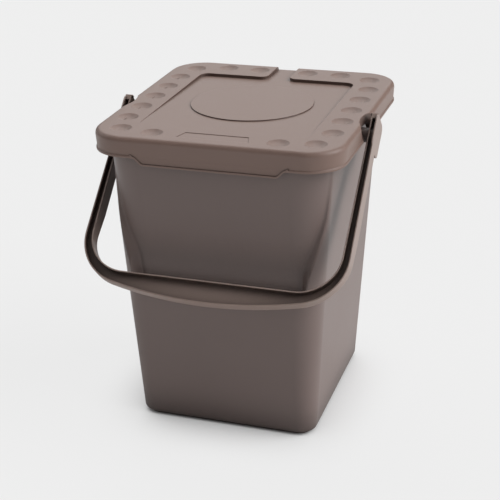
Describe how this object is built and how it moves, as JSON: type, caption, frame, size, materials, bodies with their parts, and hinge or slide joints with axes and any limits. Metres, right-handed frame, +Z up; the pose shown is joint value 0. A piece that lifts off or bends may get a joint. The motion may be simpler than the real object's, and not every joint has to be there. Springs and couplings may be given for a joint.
{
  "type": "compost caddy",
  "caption": "Tapered moulded compost caddy with a hinged lid, dished border, front hand recess and a swinging channel-section bail handle",
  "frame": {"origin": "centre of the resting face under the bucket", "axes": "+Z up, the front with the hand recess faces -Y, the handle's pivot axis and the lid's hinge axis run along X"},
  "size_m": [0.3332, 0.3756, 0.3902],
  "materials": {
    "bucket": "fine satin grain, taupe brown",
    "lid": "fine satin grain, taupe brown",
    "handle": "fine satin grain, taupe brown"
  },
  "bodies": {
    "bucket": {"bucket": "bucket"},
    "lid": {"lid": "lid"},
    "handle": {"handle": "handle"}
  },
  "joints": [
    {"name": "lid_hinge", "type": "hinge", "parent": "bucket", "child": "lid", "pos_m": [0, 0.17787, 0.3665], "axis": [-1, 0, 0], "range_deg": [0, 105]},
    {"name": "handle_pivot", "type": "hinge", "parent": "bucket", "child": "handle", "pos_m": [0, -0.0049, 0.365], "axis": [-1, 0, 0], "range_deg": [0, 264]}
  ]
}
